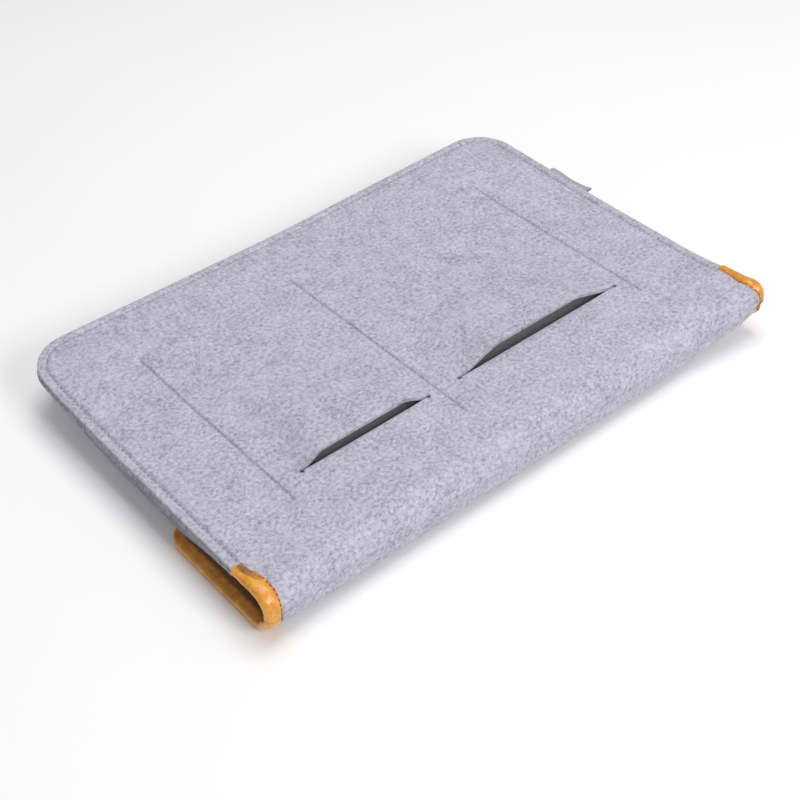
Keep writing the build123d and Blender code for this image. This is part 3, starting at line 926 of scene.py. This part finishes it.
# charcoal lining cloth, made near-black so that on the flap's inner face it is also painted shade for the
# inside of the fold
LINING_CLOTH = woven_material("lining_charcoal", (0.018, 0.017, 0.018), (0.05, 0.048, 0.05), 0.0006)
POCKET_CLOTH = woven_material("pocket_cloth_grey", (0.20, 0.20, 0.205), (0.38, 0.38, 0.39), 0.0006)
FELT_THREAD = thread_material("felt_thread", (0.20, 0.20, 0.25), (0.42, 0.41, 0.48))
LEATHER_THREAD = thread_material("leather_thread", (0.20, 0.085, 0.012), (0.46, 0.22, 0.04))
TAPE_CLOTH = woven_material("closure_tape", (0.10, 0.10, 0.12), (0.24, 0.24, 0.27), 0.0009)
TAB_CLOTH = woven_material("tab_tape", (0.26, 0.26, 0.31), (0.44, 0.43, 0.50), 0.0008)


def over_upper_bend(piece):
    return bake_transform(piece)


def over_lower_bend(piece):
    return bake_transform(piece)


def place_felt():
    back = over_upper_bend(make_felt_back(FELT_GREY))
    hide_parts("back_panel", "fold_spine_felt")
    flap = over_lower_bend(make_felt_flap(FELT_GREY))
    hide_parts("flap_panel")
    front = make_tray_layer("felt_front", 0.0, FELT, 0.0, True, FELT_GREY)
    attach(front, "sleeve")
    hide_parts("front_panel")


def place_linings():
    back = over_upper_bend(make_back_lining(LINING_CLOTH))
    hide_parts("back_lining", "fold_lining")
    flap = over_lower_bend(make_flap_lining(LINING_CLOTH))
    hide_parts("flap_lining")
    front = make_tray_layer("lining_front", FELT + 0.03, LINING, LINING_INSET, False, LINING_CLOTH)
    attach(front, "sleeve")
    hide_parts("front_lining")
    for side in ("left", "right"):
        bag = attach(make_pocket_bag(side, POCKET_CLOTH), "sleeve")
        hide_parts(side + "_pocket_bag")


def leather_seam_routes(sections):
    """The stitch lines of the leather with those sections: on the sleeve's part and on the flap's."""
    routes = []
    for stations, grades in zip((upper_stations()[4:], lower_stations()[:-1]), sections):
        route = []
        for x, s, in_x, in_s, share in stations:
            sizes = sizes_at(grades, share)
            inset = sizes["width"] - 0.35 - 0.35 * sizes["margin"]
            route.append((x + in_x * inset, s + in_s * inset))
        routes.append(route)
    return routes


def inside_fold(x, s, n):
    """Points out of the folded sheet's inner face."""
    return on_fold(x, s, -FELT - n)


def side_object(side, name, points, faces, *rest):
    """A piece of one side: made for the left one, and mirrored for the right."""
    if side == "right":
        points = np.asarray(points) * (-1, 1, 1)
        faces = [tuple(reversed(f)) for f in faces]
    return make_object(side + name, points, faces, *rest)


def make_binding(side, name, points, faces, flat_from, margin_tone_and_painted_shade):
    # the margin attribute holds the margin's darker tone and the painted shade inside the fold
    return side_object(side, name, points, faces, LEATHER, flat_from, ("margin", margin_tone_and_painted_shade))


def place_leather():
    inner_route = [(x + in_x * INNER_SEAM, s + in_s * INNER_SEAM)
                   for x, s, in_x, in_s, _ in lower_stations()[12:-1]]
    inner_seam = stitch_mesh(inner_route, inside_fold, *INNER_STITCH)
    for side, sections in SECTIONS.items():
        upper_mesh = binding_mesh(upper_stations(), sections[0])
        lower_mesh = binding_mesh(lower_stations(), sections[1])
        upper_route, lower_route = leather_seam_routes(sections)
        upper_seam = stitch_mesh(upper_route, on_fold, *CORNER_STITCH)
        lower_seam = joined([stitch_mesh(lower_route, on_fold, *FLAP_STITCH), inner_seam])
        upper = over_upper_bend(make_binding(side, "_corner_binding", *upper_mesh))
        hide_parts(side + "_corner_leather", side + "_spine_leather")
        lower = over_lower_bend(make_binding(side, "_flap_binding", *lower_mesh))
        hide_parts(side + "_flap_leather")
        seam = over_upper_bend(side_object(side, "_corner_stitches", *upper_seam, LEATHER_THREAD))
        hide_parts(side + "_corner_stitching", side + "_spine_stitching")
        flap_seam = over_lower_bend(side_object(side, "_flap_stitches", *lower_seam, LEATHER_THREAD))
        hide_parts(side + "_flap_stitching")


def place_felt_seams():
    over = thread_on(back_surface, 0.0, 1)
    under = thread_on(tray_surface(0.0, FELT, True), FELT, -1)
    route = seam_route(EDGE_SEAM)
    edge = joined([stitch_mesh(route, surface, *EDGE_STITCH) for surface in (over, under)])
    edge = make_object("edge_stitches", *edge, FELT_THREAD)
    hem_half = HALF - 26
    hem = stitch_mesh([(-hem_half, HEM_Y), (hem_half, HEM_Y)], under, *EDGE_STITCH)
    hem = make_object("mouth_hem_stitches", *hem, FELT_THREAD)
    pairs = [(edge, "perimeter_stitching"), (hem, "mouth_hem_stitching")]
    for side, (x, start, end) in POCKET_SEAMS.items():
        mesh = stitch_mesh([(x, start), (x, end)], over, *POCKET_STITCH)
        pairs.append((make_object(side + "_pocket_stitches", *mesh, FELT_THREAD), side + "_pocket_stitching"))
    for piece, node in pairs:
        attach(piece, "sleeve")
        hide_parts(node)


# ---- closure tapes and side tab ----
PILE_HEIGHT = 0.35  # of a closure tape's thickness
PILE_PITCH = 1.5
PILE_LEAN = 0.25


def tape_mesh(node, up):
    """A closure tape: a thin pad with a field of little hooks or loops on one face."""
    low, high = (np.array(corner) / MM - (X_MID, 0, 0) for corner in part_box(node))
    thickness = high[2] - low[2] - PILE_HEIGHT
    ceiling = high[2] - PILE_HEIGHT if up else high[2]
    root, direction = (ceiling, 1) if up else (ceiling - thickness, -1)
    xs, ss = np.meshgrid(grid_lines(low[0], high[0], 2.0), grid_lines(low[1], high[1], 2.0))

    def surface(x, s, depth):
        return np.stack([x, s, ceiling - depth], -1)
    parts = [sheet_mesh(xs, ss, all_cells(xs), surface, thickness)[:2]]
    across = np.arange(low[0] + 1.4, high[0] - 1.0, PILE_PITCH)
    along = np.arange(low[1] + 1.4, high[1] - 1.0, PILE_PITCH)
    for row, y in enumerate(along):
        for x in across + 0.4 * (row % 2):
            points = [(x + dx + lean, y + dy, root + height * direction)
                      for lean, height in ((0, -0.05), (PILE_LEAN, 0.3))
                      for dx, dy in ((-0.2, -0.2), (0.2, -0.2), (0.2, 0.2), (-0.2, 0.2))]
            faces = [(0, 1, 5, 4), (1, 2, 6, 5), (2, 3, 7, 6), (3, 0, 4, 7), (4, 5, 6, 7), (3, 2, 1, 0)]
            if not up:
                faces = [tuple(reversed(f)) for f in faces]
            parts.append((points, faces))
    return joined(parts)


def place_tapes():
    for side in ("left", "right"):
        for kind, body, up in (("hook", "flap", True), ("loop", "sleeve", False)):
            node = side + "_" + kind + "_tape"
            piece = make_object(node + "_cloth", *tape_mesh(node, up), TAPE_CLOTH)
            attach(piece, body)
            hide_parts(node)


TAB_CLOTH_THICKNESS = 0.7
TAB_ROOT = 5  # how far its two ends lie in the seam


def place_side_tab():
    """A tape folded double, with its fold outwards and its two ends in the seam. Its near end flares out."""
    low, high = TAB_LEVELS
    middle = (low + high) / 2
    neck = [(HALF - TAB_ROOT, high)] + [(HALF + k * (TAB_OUT - 1.6) / 4, high + 0.25 * math.sin(k * 0.8))
                                 for k in range(5)]
    turn = [(HALF + TAB_OUT - 1.2 + math.sin(a), middle + math.cos(a))
            for a in np.linspace(0.3, math.pi - 0.3, 6)]
    outer = np.array(neck + turn + [(x, 2 * middle - z) for x, z in reversed(neck)])
    along = np.gradient(outer, axis=0)
    inward = unit(np.stack([along[:, 1], -along[:, 0]], -1))
    ring = np.concatenate([outer, (outer + inward * TAB_CLOTH_THICKNESS)[::-1]])
    out = np.clip((ring[:, 0] - HALF) / TAB_OUT, 0, 1)
    size = len(ring)
    points = []
    rows = grid_lines(TAB_SPAN[0] + 1.5, TAB_SPAN[1], 1.5)
    for y in rows:
        flare = float(smooth((TAB_SPAN[0] + 7 - y) / 7))
        wave = 0.4 * math.sin((y - TAB_SPAN[0]) * 0.25)
        x = ring[:, 0] + out * (2.0 * flare + 0.3 + 0.3 * wave)
        z = ring[:, 1] + out * (0.8 * flare + wave)
        points.append(np.stack([x, np.full(size, y), z], -1))
    faces = tube_faces(len(rows), size)
    last = (len(rows) - 1) * size
    for i in range(size // 2 - 1):
        cap = (i, i + 1, size - 2 - i, size - 1 - i)
        faces += [tuple(reversed(cap)), tuple(last + a for a in cap)]
    tab = subdivide(make_object("side_tab_tape", np.concatenate(points), faces, TAB_CLOTH))
    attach(tab, "sleeve")
    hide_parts("side_tab")


# ---- floor, light and camera ----
def place_floor():
    shader = Shader("pale_floor")
    shader.colour(shader.noise(3, 2), [(0.3, (0.94, 0.94, 0.945)), (0.7, (0.96, 0.96, 0.965))])
    shader.set(Roughness=0.8)
    far = 12000
    points = [(x, y, -0.2) for x, y in ((-far, -far), (far, -far), (far, far), (-far, far))]
    make_object("floor", points, [(0, 1, 2, 3)], shader.material)


def place_light(name, place, size, power):
    """A square soft light that points at the sleeve."""
    data = bpy.data.lights.new(name, "AREA")
    data.shape = "RECTANGLE"
    data.size = data.size_y = size
    data.energy = power
    light = add_object(name, data)
    light.location = place
    light.rotation_euler = (-Vector(place)).to_track_quat("-Z", "Y").to_euler()


SKY = {"To Min": 0.22, "To Max": 0.52}  # strength near the horizon, and overhead


def place_lights():
    world = bpy.data.worlds.new("studio")
    bpy.context.scene.world = world
    world.use_nodes = True
    nodes, links = world.node_tree.nodes, world.node_tree.links
    up = nodes.new("ShaderNodeSeparateXYZ")
    links.new(nodes.new("ShaderNodeTexCoord").outputs["Generated"], up.inputs[0])
    overhead = nodes.new("ShaderNodeMapRange")
    for end, strength in SKY.items():
        overhead.inputs[end].default_value = strength
    links.new(up.outputs["Z"], overhead.inputs["Value"])
    links.new(overhead.outputs["Result"], nodes["Background"].inputs["Strength"])
    nodes["Background"].inputs["Color"].default_value = (1.0, 1.0, 1.0, 1)
    place_light("key", (0.10, -1.45, 1.0), 0.6, 12.8)
    place_light("top", (0.25, 0.1, 1.6), 1.0, 12.5)


CAMERA_PLACE = Vector((-0.42406, -0.54763, 0.58688))
CAMERA_TARGET = Vector((-0.03571, -0.04582, 0.020))
CAMERA_ROLL = math.radians(-3.136)
CAMERA_LENS = 65.508


def place_camera():
    data = bpy.data.cameras.new("camera")
    data.sensor_width = 36
    data.lens = CAMERA_LENS
    data.clip_start = 0.01
    camera = add_object("camera", data)
    forward = (CAMERA_TARGET - CAMERA_PLACE).normalized()
    right = forward.cross(Vector((0, 0, 1))).normalized()
    up = right.cross(forward)
    cosine, sine = math.cos(CAMERA_ROLL), math.sin(CAMERA_ROLL)
    axes = Matrix((right * cosine + up * sine, up * cosine - right * sine, -forward)).transposed()
    camera.matrix_world = Matrix.Translation(CAMERA_PLACE) @ axes.to_4x4()
    bpy.context.scene.camera = camera


place_camera()
place_lights()
place_floor()
place_felt()
place_linings()
place_leather()
place_felt_seams()
place_tapes()
place_side_tab()
bpy.context.scene.view_settings.view_transform = "Standard"
